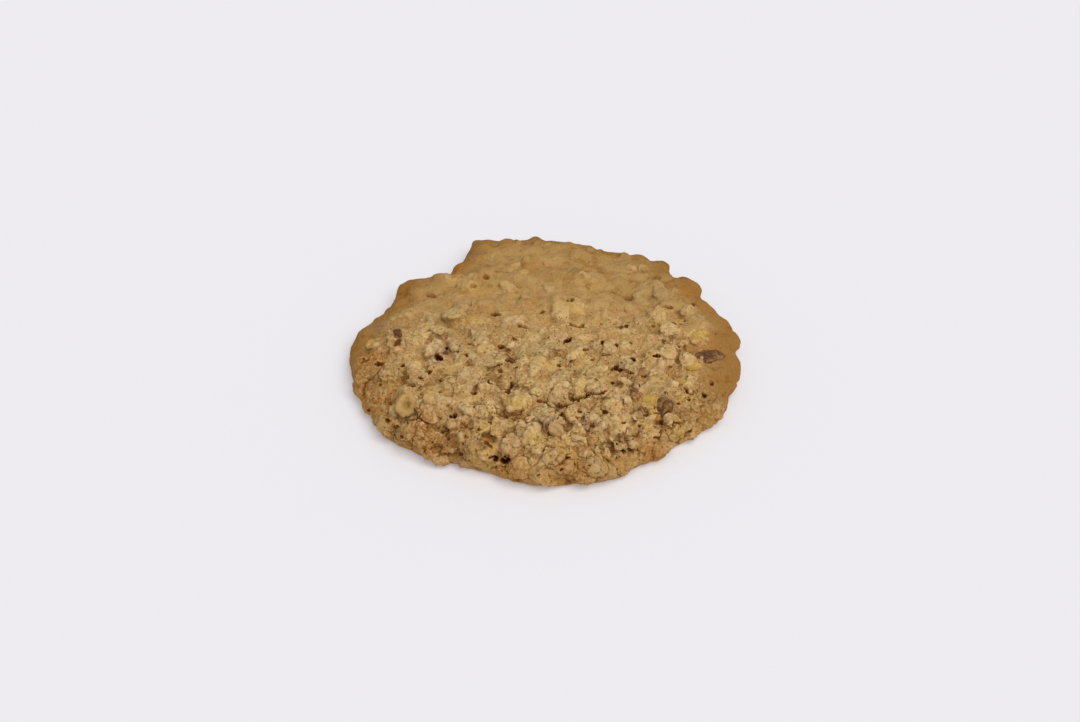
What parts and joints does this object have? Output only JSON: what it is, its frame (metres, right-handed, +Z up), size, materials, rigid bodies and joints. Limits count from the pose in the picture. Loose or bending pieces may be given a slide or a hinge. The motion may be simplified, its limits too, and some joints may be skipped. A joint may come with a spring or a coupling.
{
  "type": "oatmeal cookie",
  "caption": "Round baked oatmeal cookie with an uneven notched edge and a domed, craggy top of oat clumps, resting on its flat underside.",
  "frame": {"origin": "middle of the cookie's box, on its flat underside", "axes": "+Z up through the thickness, -Y towards the side that the picture shows in front, +X to the picture's right"},
  "size_m": [0.091, 0.091, 0.0119],
  "materials": {
    "baked_crust": "dry, rough baked oat crust"
  },
  "bodies": {
    "root": {"oatmeal_cookie": "baked_crust"}
  },
  "joints": []
}
